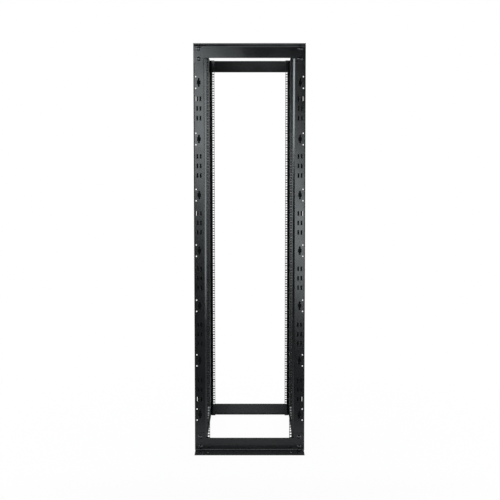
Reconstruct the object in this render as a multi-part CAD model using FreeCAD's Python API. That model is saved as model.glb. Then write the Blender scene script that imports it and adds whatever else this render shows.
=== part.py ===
import FreeCAD, Part
import math
import os

# Four-post open frame rack for 19-inch equipment, in millimetres.
# The origin is on the floor at the middle of the rack, +X is to the right seen from the front,
# +Y runs to the rear and +Z is up. Every piece is black sheet steel, folded and bolted together.

V = FreeCAD.Vector
ORIGIN = V(0, 0, 0)
X_AXIS = V(1, 0, 0)
Y_AXIS = V(0, 1, 0)
Z_AXIS = V(0, 0, 1)

# Overall size
RACK_UNITS = 48
UNIT_HEIGHT = 44.45
CROSSBAR_HEIGHT = 73.2
HEIGHT = RACK_UNITS * UNIT_HEIGHT + 2 * CROSSBAR_HEIGHT
WIDTH = 622.0
DEPTH = 914.0
MIDDLE = V(0, 0, HEIGHT / 2)

# Sheet of the posts, rails and beams, and plate of the crossbars, with the inside radius of their bends
SHEET = 3.0
SHEET_BEND = 3.0
PLATE = 5.0
PLATE_BEND = 2.0

# Crossbars: angles with a flange on the floor, or level at the top, and an ear over each post
CROSSBAR_LENGTH = 615.0
BASE_FLANGE = 90.0
TOP_FLANGE = 57.0
EAR_HEIGHT = 100.0
EAR_INNER_X = 256.0
ANCHOR_X = 234.0
ANCHOR_RADIUS = 8.5

# Mounting rail: a square-hole flange to the 19-inch standard, stepped back behind a broad face
OPENING = 450.0
HOLE_SPACING = 465.1
HOLE_SIDE = 9.5
HOLES_IN_UNIT = (6.35, 22.225, 38.1)
FLANGE_STEP = 7.0
STEP_INNER_X = 242.0
STEP_OUTER_X = 251.0
RETURN_DEPTH = 40.0

# Openings punched in the front faces: hook openings every seven rack units, and tie slots in groups
HOOK_PITCH = 7 * UNIT_HEIGHT
HOOK_X = 281.0
HOOK_WAIST = 20.0
HOOK_SLOT = (10.0, 46.0)
HOOK_ROWS = range(-3, 4)
FIXING_X = 297.5
FIXING_SIDE = 7.0
FIXING_OFFSET = 31.75
TIE_SLOT = (8.5, 25.0)
TIE_COLUMNS = (272.0, 290.0)
TIE_ROW_PITCH = 53.34
TIE_ROWS = (-1, 0, 1)
TIE_GROUP_START = HOOK_PITCH / 2
TIE_GROUP_PITCH = 317.5
TIE_GROUPS = (-3, -2, -1, 1, 2, 3)
WIDE_SLOT_OUTER_X = 297.5
WIDE_SLOTS = ((3, 1), (1, 1), (-3, -1))

# Post channel behind each rail, open to the outside of the rack
CHANNEL_X = 252.0
CHANNEL_DEPTH = 76.0
CHANNEL_FRONT_LIP = 12.0
CHANNEL_REAR_LIP = 47.5

# Side beams between the front and rear posts, open to the inside, with tongues lapped on the rails' returns
BEAM_INNER_X = 252.0
BEAM_HEIGHT = 82.0
BEAM_TONGUE = 62.0
TONGUE_EDGE = 8.0

# Planes worked out from the sizes above
FACE_Y = -(DEPTH / 2 - BASE_FLANGE)
FLANGE_Y = FACE_Y + FLANGE_STEP
CHANNEL_Y = FACE_Y + SHEET
CHANNEL_REAR_Y = CHANNEL_Y + CHANNEL_DEPTH
ANCHOR_Y = FACE_Y - (PLATE + BASE_FLANGE) / 2


def folded(corners, radii, flats, thickness):
    """Section of a folded sheet: the line through the corners, rounded in a few flats and thickened to one side."""
    points = [corners[0]]
    for before, corner, after, radius in zip(corners, corners[1:], corners[2:], radii):
        arrive = (corner - before).normalize()
        leave = (after - corner).normalize()
        angle = arrive.getAngle(leave)
        centre = corner + (leave - arrive).normalize() * (radius / math.cos(angle / 2))
        spoke = corner - arrive * (radius * math.tan(angle / 2)) - centre
        for step in range(flats + 1):
            turn = FreeCAD.Rotation(arrive.cross(leave), math.degrees(angle) * step / flats)
            points.append(centre + turn.multVec(spoke))
    points.append(corners[-1])
    return Part.makePolygon(points).makeOffset2D(thickness, 2, True, True, False)


def cut_away(solid, tools):
    """The one solid that is left when all the tools are cut from it together."""
    return solid.cut(Part.makeCompound(tools)).Solids[0]


def punch(x, z, width, height, y):
    """A block that punches one rectangular opening through the sheet whose front is at y."""
    return Part.makeBox(width, SHEET + 2, height, V(x - width / 2, y - 1, z - height / 2))


def unit_holes():
    """Three square holes for each rack unit, all in one column."""
    punches = []
    for unit in range(RACK_UNITS):
        for offset in HOLES_IN_UNIT:
            z = CROSSBAR_HEIGHT + unit * UNIT_HEIGHT + offset
            punches.append(punch(HOLE_SPACING / 2, z, HOLE_SIDE, HOLE_SIDE, FLANGE_Y))
    return punches


def hook_openings():
    """Double keyholes for hang-on accessories, each with a fixing hole above and below it."""
    punches = []
    for row in HOOK_ROWS:
        z = MIDDLE.z + row * HOOK_PITCH
        waist = punch(HOOK_X, z, HOOK_WAIST, HOOK_WAIST, FACE_Y)
        slot = punch(HOOK_X, z, *HOOK_SLOT, FACE_Y)
        punches.append(waist.fuse(slot).removeSplitter())
        for side in (-1, 1):
            z_fixing = z + side * FIXING_OFFSET
            punches.append(punch(FIXING_X, z_fixing, FIXING_SIDE, FIXING_SIDE, FACE_Y))
    return punches


def tie_slots():
    """Groups of two columns by three rows of tie slots, with a few outer slots cut wider."""
    punches = []
    width, height = TIE_SLOT
    inner_x, outer_x = TIE_COLUMNS
    for group in TIE_GROUPS:
        offset = TIE_GROUP_START + (abs(group) - 1) * TIE_GROUP_PITCH
        z_group = MIDDLE.z + (offset if group > 0 else -offset)
        for row in TIE_ROWS:
            z = z_group + row * TIE_ROW_PITCH
            punches.append(punch(inner_x, z, width, height, FACE_Y))
            left = outer_x - width / 2
            right = WIDE_SLOT_OUTER_X if (group, row) in WIDE_SLOTS else outer_x + width / 2
            punches.append(punch((left + right) / 2, z, right - left, height, FACE_Y))
    return punches


def mounting_rail(face_openings):
    """Front right rail: square-hole flange, slanted step, broad face and a return at the outer edge."""
    outer = WIDTH / 2
    section = folded(
        [
            V(OPENING / 2, FLANGE_Y, 0),
            V(STEP_INNER_X, FLANGE_Y, 0),
            V(STEP_OUTER_X, FACE_Y, 0),
            V(outer, FACE_Y, 0),
            V(outer, FACE_Y + RETURN_DEPTH, 0),
        ],
        (SHEET_BEND, SHEET_BEND + SHEET, SHEET_BEND + SHEET),
        3,
        -SHEET,
    )
    rail = section.extrude(V(0, 0, HEIGHT))
    return cut_away(rail, unit_holes() + face_openings)


def post_channel():
    """Front right post: a channel whose web faces the equipment and whose front lip backs the rail."""
    section = folded(
        [
            V(CHANNEL_X + CHANNEL_FRONT_LIP, CHANNEL_Y, 0),
            V(CHANNEL_X, CHANNEL_Y, 0),
            V(CHANNEL_X, CHANNEL_REAR_Y, 0),
            V(CHANNEL_X + CHANNEL_REAR_LIP, CHANNEL_REAR_Y, 0),
        ],
        (SHEET_BEND + SHEET, SHEET_BEND + SHEET),
        2,
        SHEET,
    )
    return section.extrude(V(0, 0, HEIGHT))


def crossbar(flange, anchor_holes):
    """Front base crossbar: an angle whose leg is cut down between the two ears."""
    left = -CROSSBAR_LENGTH / 2
    section = folded(
        [V(left, FACE_Y - flange, 0), V(left, FACE_Y, 0), V(left, FACE_Y, EAR_HEIGHT)],
        (PLATE_BEND + PLATE,),
        2,
        -PLATE,
    )
    bar = section.extrude(V(CROSSBAR_LENGTH, 0, 0))
    notch = Part.makeBox(
        2 * EAR_INNER_X,
        PLATE + 2,
        EAR_HEIGHT,
        V(-EAR_INNER_X, FACE_Y - PLATE - 1, CROSSBAR_HEIGHT),
    )
    return cut_away(bar, [notch] + anchor_holes)


def anchor_holes():
    """Two round holes in the floor flange for anchor bolts."""
    return [
        Part.makeCylinder(ANCHOR_RADIUS, PLATE + 2, V(x, ANCHOR_Y, -1))
        for x in (-ANCHOR_X, ANCHOR_X)
    ]


def side_beam():
    """Right base beam: a channel open to the inside, cut back at its ends to two tongues of the web."""
    outer_x = WIDTH / 2 - SHEET
    end_y = CHANNEL_REAR_Y - BEAM_TONGUE
    section = folded(
        [
            V(BEAM_INNER_X, end_y, 0),
            V(outer_x, end_y, 0),
            V(outer_x, end_y, BEAM_HEIGHT),
            V(BEAM_INNER_X, end_y, BEAM_HEIGHT),
        ],
        (SHEET_BEND + SHEET, SHEET_BEND + SHEET),
        2,
        SHEET,
    )
    beam = section.extrude(V(0, -2 * end_y, 0))
    end = Part.makeBox(outer_x, BEAM_TONGUE, BEAM_HEIGHT, V(0, end_y, 0))
    tongue_height = BEAM_HEIGHT - 2 * TONGUE_EDGE
    tongue = Part.makeBox(SHEET, BEAM_TONGUE, tongue_height, V(outer_x - SHEET, end_y, TONGUE_EDGE))
    cope = end.cut(tongue)
    return cut_away(beam, [cope, cope.mirror(ORIGIN, Y_AXIS)])


def write(name, shape):
    """Write one node and print its volume and the room it takes."""
    box = shape.BoundBox
    print(f"{name}: {shape.Volume:.0f} mm3, {box.XLength:.1f} x {box.YLength:.1f} x {box.ZLength:.1f} mm")
    shape.exportStep(f"parts/{name}.step")


def main():
    os.makedirs("parts", exist_ok=True)
    front_rail = mounting_rail(hook_openings() + tie_slots())
    rear_rail = mounting_rail([]).mirror(ORIGIN, Y_AXIS)
    front_post = post_channel()
    rear_post = front_post.mirror(ORIGIN, Y_AXIS)
    beam = side_beam()
    top_beam = beam.mirror(MIDDLE, Z_AXIS)
    right_hand = {
        "front_{}_rail": front_rail,
        "rear_{}_rail": rear_rail,
        "front_{}_post": front_post,
        "rear_{}_post": rear_post,
        "{}_base_beam": beam,
        "{}_top_beam": top_beam,
    }
    for name, shape in right_hand.items():
        write(name.format("right"), shape)
        write(name.format("left"), shape.mirror(ORIGIN, X_AXIS))
    base = crossbar(BASE_FLANGE, anchor_holes())
    top = crossbar(TOP_FLANGE, []).mirror(MIDDLE, Z_AXIS)
    for level, bar in (("base", base), ("top", top)):
        write(f"front_{level}_crossbar", bar)
        write(f"rear_{level}_crossbar", bar.mirror(ORIGIN, Y_AXIS))


main()
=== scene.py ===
# %% [markdown]
# # A black four-post open frame rack
#
# The rack is four upright posts of folded sheet steel, tied together by angles across the front and rear and by
# channels along the sides. The measured solids come from a imported CAD model, which this lesson loads as a fixed
# frame. The lesson then adds what the solids leave out: the fasteners, the openings of the rear rails, the black
# powder coat and the light of a small photo studio. Lengths are in metres, apart from the lens and the profiles of
# the fasteners, which are in millimetres.
#
# The first step loads the frame and keeps its box, whose height places the fasteners at the top.

# %% Load the frame
import math

import bpy
import numpy as np
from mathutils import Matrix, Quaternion, Vector


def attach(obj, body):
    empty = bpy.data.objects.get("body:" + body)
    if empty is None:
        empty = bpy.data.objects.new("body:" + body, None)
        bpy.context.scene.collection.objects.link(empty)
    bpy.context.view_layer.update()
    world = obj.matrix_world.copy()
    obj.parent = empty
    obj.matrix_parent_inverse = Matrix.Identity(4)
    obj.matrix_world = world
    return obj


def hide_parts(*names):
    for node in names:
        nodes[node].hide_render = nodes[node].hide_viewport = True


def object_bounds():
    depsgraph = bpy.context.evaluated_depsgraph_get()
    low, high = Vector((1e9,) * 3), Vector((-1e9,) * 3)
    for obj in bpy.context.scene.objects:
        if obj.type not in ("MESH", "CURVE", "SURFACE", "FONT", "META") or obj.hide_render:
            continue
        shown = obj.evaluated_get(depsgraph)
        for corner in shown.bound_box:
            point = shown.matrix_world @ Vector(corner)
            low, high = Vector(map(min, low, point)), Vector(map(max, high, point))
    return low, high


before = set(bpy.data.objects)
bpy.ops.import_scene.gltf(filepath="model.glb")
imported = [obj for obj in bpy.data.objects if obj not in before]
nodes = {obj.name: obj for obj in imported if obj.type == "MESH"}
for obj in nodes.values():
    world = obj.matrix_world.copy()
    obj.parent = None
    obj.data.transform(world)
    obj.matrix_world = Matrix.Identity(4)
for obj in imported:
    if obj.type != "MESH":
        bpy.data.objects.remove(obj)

cad_low, cad_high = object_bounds()
print("loaded", len(nodes), "pieces, box", [round(v, 3) for v in cad_high - cad_low])

# %% [markdown]
# ## Camera
#
# The picture was taken from about 5 m, half a metre above the middle of the rack, with the lens slightly to the
# right of its centre line. A camera that is tilted down makes upright posts lean together, so a product
# photographer keeps the back of the camera nearly upright and shifts the lens instead. Most of the drop is done
# with a small tilt here and the rest with the shift, because a large shift would push the rack out of the other
# views.

# %% Camera
CAMERA_PLACE = (0.0164, -5.368, 1.599)
CAMERA_TILT = math.radians(4.0)
SENSOR_WIDTH = 36.0
LENS_LENGTH = 64.56
LENS_SHIFT = (-0.005, -0.0376)

camera_data = bpy.data.cameras.new("rack_camera")
camera_data.sensor_width = SENSOR_WIDTH
camera_data.lens = LENS_LENGTH
camera_data.shift_x, camera_data.shift_y = LENS_SHIFT
camera = bpy.data.objects.new("rack_camera", camera_data)
camera.location = CAMERA_PLACE
camera.rotation_euler = (math.pi / 2 - CAMERA_TILT, 0, 0)
scene = bpy.context.scene
scene.collection.objects.link(camera)
scene.camera = camera
scene.view_settings.view_transform = "Standard"
print("camera at", CAMERA_PLACE, "with a", LENS_LENGTH, "mm lens")

# %% [markdown]
# ## Node helpers
#
# Every finish below is a small network of shader nodes. Blender builds one with many calls, so four helpers keep
# the cells short: one makes a node and sets its sockets, one makes a Math node, one a Map Range node, and one
# clears a material or world so that everything in it is made here.

# %% Node helpers
def add_node(tree, kind, settings=None, **sockets):
    """A node of that kind. Settings are its own properties. A socket is named by its label or, as i0, i1 and i2,
    by its number, and is given a value or another node's output."""
    node = tree.nodes.new(kind)
    for name, value in (settings or {}).items():
        setattr(node, name, value)
    for name, value in sockets.items():
        socket = node.inputs[int(name[1:]) if name[1:].isdigit() else name.replace("_", " ")]
        if isinstance(value, bpy.types.NodeSocket):
            tree.links.new(value, socket)
        else:
            socket.default_value = value
    return node


def calculate(tree, operation, first, second):
    """The output of a Math node: the operation on two numbers or outputs, clamped to the range 0 to 1."""
    node = add_node(tree, "ShaderNodeMath", {"operation": operation, "use_clamp": True}, i0=first, i1=second)
    return node.outputs[0]


def ramp(tree, value, low, high, at_low, at_high):
    """The output of a Map Range node: a smooth change from one level to another as the value goes low to high."""
    node = add_node(tree, "ShaderNodeMapRange", {"interpolation_type": "SMOOTHSTEP"}, Value=value,
                    From_Min=low, From_Max=high, To_Min=at_low, To_Max=at_high)
    return node.outputs[0]


def empty_tree(owner):
    """The node tree of a material or world, cleared."""
    owner.use_nodes = True
    owner.node_tree.nodes.clear()
    return owner.node_tree


print("node helpers:", [helper.__name__ for helper in (add_node, calculate, ramp, empty_tree)])

# %% [markdown]
# ## The room
#
# Black paint shows the room more than its own colour. Behind the rack the studio is white, and towards the camera
# it is dim, which keeps the faces of the posts dark. Walls would do, but they would get in the way of other views,
# so the world itself changes with direction. What the camera sees directly is white.

# %% Room
ROOM_DIM = 0.04
ROOM_TURN = (0.0, 0.6)

world = bpy.data.worlds.new("studio_room")
scene.world = world
tree = empty_tree(world)
direction = add_node(tree, "ShaderNodeSeparateXYZ",
                     Vector=add_node(tree, "ShaderNodeTexCoord").outputs["Generated"])
behind = ramp(tree, direction.outputs["Y"], *ROOM_TURN, ROOM_DIM, 1.0)
seen = calculate(tree, "MAXIMUM", behind, add_node(tree, "ShaderNodeLightPath").outputs["Is Camera Ray"])
room = add_node(tree, "ShaderNodeBackground", Color=seen, Strength=1.0)
add_node(tree, "ShaderNodeOutputWorld", Surface=room.outputs[0])
print("room is white behind, and", ROOM_DIM, "in front")

# %% [markdown]
# ## The floor
#
# The rack stands on a sheet of white paper. A studio would curve the paper up behind the rack, but that would hide
# it in the rear views, so the sheet is flat: a grid with one cell, far larger than the view. It lies 0.6 mm below
# the rack, because two faces in one plane would show through each other.

# %% Floor
FLOOR_REACH = 60.0
FLOOR_DROP = 0.0006

reach = np.array([-FLOOR_REACH, FLOOR_REACH])
east, north = np.meshgrid(reach, reach)
corners = np.stack([east, north, np.full_like(east, -FLOOR_DROP)], axis=-1).reshape(-1, 3)
floor_mesh = bpy.data.meshes.new("floor")
floor_mesh.from_pydata(corners.tolist(), [], [(0, 1, 3, 2)])
floor = bpy.data.objects.new("floor", floor_mesh)
scene.collection.objects.link(floor)
print("floor reaches", FLOOR_REACH, "m to each side")

# %% [markdown]
# The paper ends about half a metre in front of the rack, where the dim studio floor begins. The feet of the posts
# mirror the paper and the faces above them mirror the dim floor, which makes the feet look paler. Paper only looks
# pure white where enough light falls on it, and that much light would wash out the black. So most of what the camera
# sees is a plain white of strength 1, and the rest is ordinary matt paper, which keeps a soft shadow under the base.
# From about two metres out all of it is white, and the sheet shows no end.

# %% Paper
PAPER_END = (-1.25, -0.65)
PAPER_TONES = (0.15, 0.75)
SHADOW_REACH = (0.8, 2.2)
WHITE_SHARE = 0.965

paper = bpy.data.materials.new("studio_paper")
tree = empty_tree(paper)
spot = add_node(tree, "ShaderNodeTexCoord").outputs["Object"]
place = add_node(tree, "ShaderNodeSeparateXYZ", Vector=spot)
tone = ramp(tree, place.outputs["Y"], *PAPER_END, *PAPER_TONES)
away = add_node(tree, "ShaderNodeVectorMath", {"operation": "LENGTH"}, i0=spot)
plain = ramp(tree, away.outputs["Value"], *SHADOW_REACH, WHITE_SHARE, 1.0)
share = calculate(tree, "MULTIPLY", plain, add_node(tree, "ShaderNodeLightPath").outputs["Is Camera Ray"])
matt = add_node(tree, "ShaderNodeBsdfDiffuse", Color=tone)
white = add_node(tree, "ShaderNodeEmission", Color=(1, 1, 1, 1), Strength=1.0)
mixed = add_node(tree, "ShaderNodeMixShader", i0=share, i1=matt.outputs[0], i2=white.outputs[0])
add_node(tree, "ShaderNodeOutputMaterial", Surface=mixed.outputs[0])
floor_mesh.materials.append(paper)
print("paper fades from y =", PAPER_END[1], "to", PAPER_END[0])

# %% [markdown]
# ## The lamps
#
# A flat black face is a dull mirror. Even light from all sides would only turn it grey, so each lamp is placed where
# its reflection should fall. On the left post the bright part is near the top, and on the right post it is around
# the middle. One long softbox behind the camera, leaning from upper left to lower right, gives both. The slanted
# steps of the rails look sideways: a high box at the front left catches the upper part of the right step, and a
# taller, weaker one at the front right most of the left step. A box above and behind lights the paper and the tops
# of the beams, and leaves the front faces alone. Black paint looks cool under daylight lamps, so all of them are a
# little blue.

# %% Lamps
LAMP_COLOUR = (0.90, 0.975, 1.0)


def softbox(name, place, aim, size, radiance, roll=0.0):
    """A rectangular lamp of that brightness, whose power is the brightness times its area times pi."""
    data = bpy.data.lights.new(name, "AREA")
    data.shape = "RECTANGLE"
    data.size, data.size_y = size
    data.energy = radiance * size[0] * size[1] * math.pi
    data.color = LAMP_COLOUR
    lamp = bpy.data.objects.new(name, data)
    lamp.location = place
    facing = (Vector(aim) - Vector(place)).to_track_quat("-Z", "Y")
    lamp.rotation_mode = "QUATERNION"
    lamp.rotation_quaternion = facing @ Quaternion((0, 0, 1), roll)
    lamp.visible_camera = False
    scene.collection.objects.link(lamp)
    print(name, "gives", round(data.energy, 1), "W")
    return lamp


long_box = softbox("long_softbox", place=(0.0, -6.0, 1.53), aim=(0.0, 0.0, 1.53), size=(5.0, 1.13),
                   radiance=4.9, roll=math.radians(-48))
softbox("left_softbox", place=(-3.6, -1.4, 2.47), aim=(0.25, -0.36, 1.97), size=(1.8, 1.36), radiance=11.0)
softbox("right_softbox", place=(3.6, -1.4, 1.5), aim=(-0.25, -0.36, 1.5), size=(1.8, 2.4), radiance=5.5)
softbox("rear_softbox", place=(0.0, 2.2, 4.2), aim=(0.0, 0.4, 0.0), size=(3.6, 2.4), radiance=4.6)

# %% [markdown]
# Three places need light of their own. The tops of the base beams are seen at a low angle and mirror the dark feet
# of the rear posts, so a lamp as small as a hand in front of each foot gives them their pale sheen. The rear top
# crossbar would mirror the long softbox as brightly as the front one does, but it is nearly black, with a faint
# sheen to the right. The face and the floor flange of the front base crossbar are two mirrors in a corner, which
# throw the long softbox straight back, but on the real one the corner is dark with a light line in the bend. A
# photographer would hold up black cards. Blender has light linking instead: the long softbox leaves these two
# crossbars out, and each has a weaker softbox that lights nothing else.

# %% Lamps for single pieces
BEAM_LAMP_X, BEAM_LAMP_Y, BEAM_LAMP_Z = 0.275, 0.283, 0.16

for x in (-BEAM_LAMP_X, BEAM_LAMP_X):
    softbox("beam_lamp", place=(x, BEAM_LAMP_Y, BEAM_LAMP_Z), aim=(x, 0.0, BEAM_LAMP_Z), size=(0.055, 0.15),
            radiance=1.0)
top_bar_box = softbox("top_bar_softbox", place=(0.55, -6.0, 2.95), aim=(0.0, 0.37, 2.24), size=(1.7, 0.9),
                      radiance=0.75)
base_bar_box = softbox("base_bar_softbox", place=(0.0, -6.0, 2.78), aim=(0.0, -0.37, 0.05), size=(2.4, 1.8),
                       radiance=3.2)

top_bar, base_bar = nodes["rear_top_crossbar"], nodes["front_base_crossbar"]
for lamp, state, bars in (
        (long_box, "EXCLUDE", (top_bar, base_bar)),
        (top_bar_box, "INCLUDE", (top_bar,)),
        (base_bar_box, "INCLUDE", (base_bar,))):
    linked = bpy.data.collections.new(lamp.name + "_links")
    for bar in bars:
        linked.objects.link(bar)
    for link in linked.collection_objects:
        link.light_linking.link_state = state
    lamp.light_linking.receiver_collection = linked
    print(lamp.name, "has as", state, [bar.name for bar in bars])

# %% [markdown]
# ## Powder coat
#
# The steel is sprayed with black powder and baked, so it is one smooth skin with a faint ripple, called orange
# peel, of a millimetre or two. Over a sharp edge the skin is thinner, and the edge catches more light. One flat
# black with one roughness would look like plastic. A Noise texture in Object coordinates gives the ripple its true
# size on every piece, and a broad one makes the black and its sheen wander. A Bevel node rounds the edges for the
# light alone, and where its direction differs from the flat face's, the black is painted a little paler: a painted
# highlight along the edges.

# %% Powder coat
COAT_DARK = (0.0055, 0.0057, 0.0062, 1)
COAT_PALE = (0.0095, 0.0097, 0.0102, 1)
# The edge colour is a painted highlight: the paler black that the edges are given.
COAT_EDGE_HIGHLIGHT = (0.030, 0.030, 0.031, 1)
MOTTLE_SCALE = 9.0
PEEL_SCALE = 650.0
PEEL_DEPTH = 0.0002
EDGE_RADIUS = 0.0012
EDGE_LIKENESS = (0.995, 0.85)
EDGE_HIGHLIGHT_SHARE = 0.6
SHEEN_SPREAD = 0.03
NOISE_RANGE = (0.3, 0.7)


def powder_coat(name, roughness, ripple, gloss=0.5):
    """Black powder coat: mottled black, wandering roughness, orange peel, and edges painted paler as a highlight."""
    coat = bpy.data.materials.new(name)
    tree = empty_tree(coat)
    place = add_node(tree, "ShaderNodeTexCoord").outputs["Object"]
    cloud = add_node(tree, "ShaderNodeTexNoise", Vector=place, Scale=MOTTLE_SCALE, Detail=4.0, Roughness=0.6)
    grain = add_node(tree, "ShaderNodeTexNoise", Vector=place, Scale=PEEL_SCALE, Detail=2.0, Roughness=0.5)
    mottle = add_node(tree, "ShaderNodeMix", {"data_type": "RGBA"},
                      i0=cloud.outputs["Fac"], A=COAT_DARK, B=COAT_PALE)
    round_edge = add_node(tree, "ShaderNodeBevel", {"samples": 4}, Radius=EDGE_RADIUS)
    flat_face = add_node(tree, "ShaderNodeNewGeometry")
    alike = add_node(tree, "ShaderNodeVectorMath", {"operation": "DOT_PRODUCT"},
                     i0=round_edge.outputs[0], i1=flat_face.outputs["Normal"])
    # Where the rounded normal turns from the flat face, the black is mixed towards the painted edge highlight.
    edge_highlight = ramp(tree, alike.outputs["Value"], *EDGE_LIKENESS, 0.0, EDGE_HIGHLIGHT_SHARE)
    colour = add_node(tree, "ShaderNodeMix", {"data_type": "RGBA"},
                      i0=edge_highlight, A=mottle.outputs["Result"], B=COAT_EDGE_HIGHLIGHT)
    sheen = ramp(tree, cloud.outputs["Fac"], *NOISE_RANGE, roughness - SHEEN_SPREAD, roughness + SHEEN_SPREAD)
    peel = add_node(tree, "ShaderNodeBump", Strength=ripple, Distance=PEEL_DEPTH,
                    Height=grain.outputs["Fac"], Normal=round_edge.outputs[0])
    shader = add_node(tree, "ShaderNodeBsdfPrincipled", Base_Color=colour.outputs["Result"],
                      Roughness=sheen, Specular_IOR_Level=gloss, Normal=peel.outputs[0])
    add_node(tree, "ShaderNodeOutputMaterial", Surface=shader.outputs[0])
    print(name, "has roughness", roughness, "and ripple", ripple)
    return coat


# %% [markdown]
# The same powder comes out differently from piece to piece. Four networks made by hand would soon drift apart, so
# one function makes all four coats. Crossbars and beams are plain plate, which takes the powder evenly, so they have
# the tightest sheen. The rails are full of openings and come out a little rougher, and the posts are satin. Spray
# hardly reaches into a deep channel, so inside the posts the coat is thin, dry and dull.

# %% Four coats
post_coat = powder_coat("post_coat", roughness=0.20, ripple=0.10)
frame_coat = powder_coat("frame_coat", roughness=0.18, ripple=0.08)
satin_coat = powder_coat("satin_coat", roughness=0.30, ripple=0.12)
dull_coat = powder_coat("dull_coat", roughness=0.60, ripple=0.12, gloss=0.2)

# %% [markdown]
# ## Coating the CAD pieces
#
# Through the slots of the rails one looks at the dull inside of the posts, and that makes the slots black. A post
# could be split in two for this, but the solids stay exactly as they were measured. It gets two materials instead,
# and each of its faces takes the one that its place calls for. The planes between inside and outside lie half a
# millimetre into the sheet, so that the channel's inner faces count as inside.

# %% Coat the CAD pieces
CHANNEL_WEB = 0.2545
CHANNEL_LIPS = (0.2905, 0.3615)


def coat_inside(mesh):
    """Gives the second material to every face whose middle is outside the web's plane in x and between the two
    lips' planes in y, and counts these faces."""
    middles = np.empty(len(mesh.polygons) * 3)
    mesh.polygons.foreach_get("center", middles)
    x, y, _ = np.abs(middles.reshape(-1, 3)).T
    inside = (x > CHANNEL_WEB) & (y > CHANNEL_LIPS[0]) & (y < CHANNEL_LIPS[1])
    mesh.polygons.foreach_set("material_index", inside.astype(np.int32))
    return int(inside.sum())


coats = {"rail": [post_coat], "post": [satin_coat, dull_coat]}
for name, piece in nodes.items():
    piece.data.materials.clear()
    for coat in coats.get(name.split("_")[-1], [frame_coat]):
        piece.data.materials.append(coat)
    if name.endswith("post"):
        print(name, "has", coat_inside(piece.data), "dull faces of", len(piece.data.polygons))
print("coated", len(nodes), "CAD pieces")

# %% [markdown]
# ## Making pieces from arrays
#
# Every new piece is a surface worked out with numpy and handed to Blender in one go. This helper puts the object
# in the scene at the origin, smooths the faces that meet at a small angle and keeps the sharp edges of the steel.

# %% Piece from arrays
SHARP_ANGLE = math.radians(32)


def make_piece(name, points, faces, coat):
    """A coated piece that stands with the rack, from an array of points and arrays of the faces' corner numbers."""
    mesh = bpy.data.meshes.new(name)
    mesh.from_pydata(points.tolist(), [], [corners for array in faces for corners in array.tolist()])
    mesh.polygons.foreach_set("use_smooth", np.ones(len(mesh.polygons), dtype=bool))
    mesh.set_sharp_from_angle(angle=SHARP_ANGLE)
    mesh.materials.append(coat)
    mesh.update()
    piece = bpy.data.objects.new(name, mesh)
    scene.collection.objects.link(piece)
    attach(piece, "root")
    print(name, "has", len(points), "points and", len(mesh.polygons), "faces")
    return piece


print("edges of more than", round(math.degrees(SHARP_ANGLE)), "degrees stay sharp")

# %% [markdown]
# ## Rear rails
#
# The rear rails are the same pieces as the front ones, turned to face the back of the rack. The CAD model cuts
# the broad face's openings only in the front rails, because so many small holes make a heavy solid. They could be
# cut here with Boolean modifiers, but a mirrored copy of each front rail is quicker and exact. Mirroring turns a
# surface inside out, so the corners of each triangle are also taken in the opposite order.

# %% Rear rails
STEPS_IN_METRE = 1e6
FRONT_TO_BACK = np.array([1, -1, 1])


def mirrored_rail(front_name, rear_name):
    """The front rail with y changed to -y: loose triangles are merged into shared points, then reversed. Points
    that agree to a step of a thousandth of a millimetre are one."""
    source = nodes[front_name].data
    points = np.empty(len(source.vertices) * 3)
    source.vertices.foreach_get("co", points)
    corners = np.empty(len(source.loops), dtype=np.int64)
    source.loops.foreach_get("vertex_index", corners)
    steps = np.round(points.reshape(-1, 3) * STEPS_IN_METRE).astype(np.int64)
    merged, shared = np.unique(steps, axis=0, return_inverse=True)
    triangles = shared.reshape(-1)[corners].reshape(-1, 3)[:, ::-1]
    points = merged / STEPS_IN_METRE * FRONT_TO_BACK
    rail = make_piece(rear_name + "_punched", points, [triangles], post_coat)
    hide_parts(rear_name)


for side in ("left", "right"):
    mirrored_rail(f"front_{side}_rail", f"rear_{side}_rail")

# %% [markdown]
# ## Fasteners
#
# The frame is bolted together. Two button-head bolts on flat washers hold each ear of a crossbar to its rail. Two
# screws hold each end of a side beam to the rail's return, and their heads are sunk almost flush, because racks
# stand side by side in a row. All have a hexagon socket, with a hexagon nut behind. A Screw modifier could spin
# their profiles, but only into circles. As a formula, the surface is a function of two parameters: a step along the
# profile and an angle around the axis. For the socket and the nut the radius also follows the angle, which makes a
# circle into a hexagon.

# %% Turned shapes
MILLIMETRE = 0.001
SIDES = 24
ROUND, HEXAGON = 0, 1
around = np.linspace(0, 2 * math.pi, SIDES, endpoint=False)
hexagon = math.cos(math.pi / 6) / np.cos(np.mod(around, math.pi / 3) - math.pi / 6)


def turned(profile):
    """Rings around z: each profile row is radius and height in millimetres, and shape, 0 for round or 1 for a
    hexagon. A ring's point at an angle has radius r * (1 + shape * (hexagon(angle) - 1)). A point in the middle
    closes the first ring and another the last."""
    radius, height, shape = (np.array(column)[:, None] for column in zip(*profile))
    reach = radius * (1 + shape * (hexagon - 1))
    rings = np.stack([reach * np.cos(around), reach * np.sin(around), height + 0 * reach], axis=-1)
    middles = [[0, 0, profile[0][1]], [0, 0, profile[-1][1]]]
    points = np.concatenate([rings.reshape(-1, 3), middles]) * MILLIMETRE
    step = np.arange(SIDES)
    after = (step + 1) % SIDES
    low = np.arange(len(profile) - 1)[:, None] * SIDES
    quads = np.stack([low + step, low + after, low + SIDES + after, low + SIDES + step], axis=-1)
    top = (len(profile) - 1) * SIDES
    under = np.stack([after, step, np.full(SIDES, len(points) - 2)], axis=-1)
    over = np.stack([top + step, top + after, np.full(SIDES, len(points) - 1)], axis=-1)
    return points, quads.reshape(-1, 4), np.concatenate([under, over])


print("a ring has", SIDES, "points, and a hexagon's flats are at", round(hexagon.min(), 3), "of its radius")

# %% [markdown]
# A profile starts at the outer edge of the underside and ends near the middle of the top. The bolt's goes round its
# washer, over the button head and down into the socket. The nut's goes round a smaller washer, up the hexagon, over
# its rounded shoulder and up the end of the thread. The screw's is a flat disc with a shallow socket.

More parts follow.
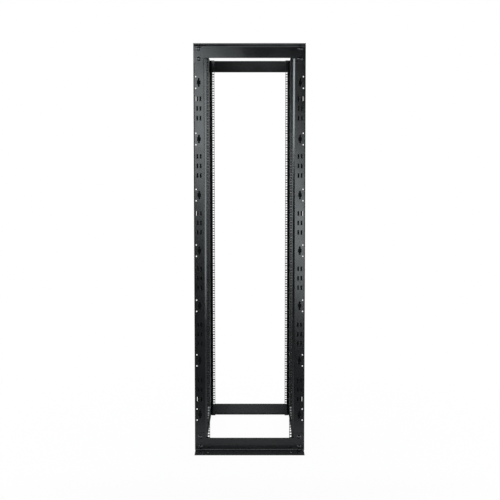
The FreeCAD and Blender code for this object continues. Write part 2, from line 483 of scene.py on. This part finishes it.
# %% Bolts, nuts and screws
bolt_head = turned([
    (14.5, 0.0, ROUND), (14.5, 1.8, ROUND), (14.0, 2.2, ROUND), (11.8, 2.2, ROUND),
    (12.0, 3.0, ROUND), (11.6, 4.6, ROUND), (10.5, 6.4, ROUND), (8.6, 8.0, ROUND), (6.2, 9.0, ROUND),
    (5.2, 9.0, HEXAGON), (4.8, 8.4, HEXAGON), (4.8, 5.2, HEXAGON)])
bolt_nut = turned([
    (10.0, 0.0, ROUND), (10.0, 1.6, ROUND), (9.6, 2.0, ROUND), (8.2, 2.0, ROUND),
    (9.8, 2.6, HEXAGON), (9.8, 9.4, HEXAGON), (8.3, 10.2, ROUND), (5.6, 10.2, ROUND),
    (5.0, 9.7, ROUND), (5.0, 12.0, ROUND), (4.3, 12.7, ROUND)])
screw_head = turned([
    (9.0, 0.0, ROUND), (9.0, 0.3, ROUND), (8.6, 0.6, ROUND), (4.4, 0.6, ROUND),
    (3.8, 0.6, HEXAGON), (3.6, 0.1, HEXAGON)])
print("points in a bolt, a nut and a screw:", len(bolt_head[0]), len(bolt_nut[0]), len(screw_head[0]))

# %% [markdown]
# The bolts are black like the frame, but plated and not sprayed. A black coat would hide them against the ears, so
# they are a dark metal, which catches the lamps more. Grease and handling make the plating uneven, and a Noise
# texture with patches about a quarter as wide as a head gives that to its colour and its shine.

# %% Bolt plating
PLATING_DARK = (0.042, 0.042, 0.043, 1)
PLATING_PALE = (0.090, 0.090, 0.092, 1)
PLATING_SHINE = (0.16, 0.28)
STAIN_SCALE = 160.0

bolt_black = bpy.data.materials.new("bolt_black")
tree = empty_tree(bolt_black)
place = add_node(tree, "ShaderNodeTexCoord").outputs["Object"]
stain = add_node(tree, "ShaderNodeTexNoise", Vector=place, Scale=STAIN_SCALE, Detail=3.0, Roughness=0.6)
plating = add_node(tree, "ShaderNodeMix", {"data_type": "RGBA"}, i0=stain.outputs["Fac"],
                   A=PLATING_DARK, B=PLATING_PALE)
shine = ramp(tree, stain.outputs["Fac"], *NOISE_RANGE, *PLATING_SHINE)
shader = add_node(tree, "ShaderNodeBsdfPrincipled", Base_Color=plating.outputs["Result"], Metallic=1.0,
                  Roughness=shine)
add_node(tree, "ShaderNodeOutputMaterial", Surface=shader.outputs[0])
print(bolt_black.name, "has roughness", PLATING_SHINE)

# %% [markdown]
# Blender could repeat a bolt as instances, but a finished piece here sits at the origin with its place in its mesh.
# So all the copies of one shape are one piece, worked out together. Each copy has its own spot and its own axis, and
# is spun about that axis by one more golden angle than the last, because nobody lines up the sockets of bolts when
# tightening them.

# %% Copies of a fastener
GOLDEN_ANGLE = math.pi * (3 - math.sqrt(5))


def fastened(name, shape, spots, axes):
    """One piece with a copy of the turned shape at each spot: spot + x * across + y * along + z * axis, where
    across and along are the two directions square to the axis, spun by the copy's own angle."""
    points, quads, fans = shape
    up = np.array([0.0, 0.0, 1.0])
    level = np.cross(up, axes)
    spin = np.arange(len(spots))[:, None] * GOLDEN_ANGLE
    across = np.cos(spin) * level + np.sin(spin) * up
    along = np.cos(spin) * up - np.sin(spin) * level
    turn = np.stack([across, along, axes], axis=1)
    copies = spots[:, None, :] + np.einsum("pk,nkd->npd", points, turn)
    first = np.arange(len(spots))[:, None, None] * len(points)
    faces = [(quads + first).reshape(-1, 4), (fans + first).reshape(-1, 3)]
    make_piece(name, copies.reshape(-1, 3), faces, bolt_black)


print("each copy is spun", round(math.degrees(GOLDEN_ANGLE), 1), "degrees further than the last")

# %% [markdown]
# The bolts sit on the faces of the crossbars' ears, with nuts a quarter larger than the beams' own on the backs of
# the rails. The screws sit on the outsides of the rails' returns, with nuts on the insides of the beams' tongues.
# The rack is the same on the left and right, at the front and rear and, for its fasteners, at the base and top, so
# one spot and two heights give all sixteen places of each kind.

# %% Place the fasteners
EAR_BOLT_X = 0.280
EAR_FACE_Y = 0.372
RAIL_BACK_Y = 0.364
EAR_ROWS = (0.0225, 0.0785)
EAR_NUT_SCALE = 1.25
RETURN_FACE_X = 0.311
TONGUE_BACK_X = 0.305
TONGUE_Y = 0.3385
BEAM_ROWS = (0.024, 0.058)
ALONG_X, ALONG_Y = 0, 1
OUTWARDS, INWARDS = 1, -1


def spots_at(x, y, rows):
    """Every combination of the distances x and y, on both sides of the middle, with the rows' heights above the
    floor and the same heights down from the top."""
    both = np.array([-1.0, 1.0])
    rows = np.array(rows)
    heights = np.concatenate([rows, float(cad_high[2]) - rows[::-1]])
    return np.stack(np.meshgrid(both * x, both * y, heights, indexing="ij"), axis=-1).reshape(-1, 3)


ear_nut = (bolt_nut[0] * EAR_NUT_SCALE, *bolt_nut[1:])
for name, shape, spots, axis, way in (
        ("ear_bolts", bolt_head, spots_at(EAR_BOLT_X, EAR_FACE_Y, EAR_ROWS), ALONG_Y, OUTWARDS),
        ("ear_nuts", ear_nut, spots_at(EAR_BOLT_X, RAIL_BACK_Y, EAR_ROWS), ALONG_Y, INWARDS),
        ("beam_screws", screw_head, spots_at(RETURN_FACE_X, TONGUE_Y, BEAM_ROWS), ALONG_X, OUTWARDS),
        ("beam_nuts", bolt_nut, spots_at(TONGUE_BACK_X, TONGUE_Y, BEAM_ROWS), ALONG_X, INWARDS)):
    axes = np.zeros_like(spots)
    axes[:, axis] = way * np.sign(spots[:, axis])
    fastened(name, shape, spots, axes)
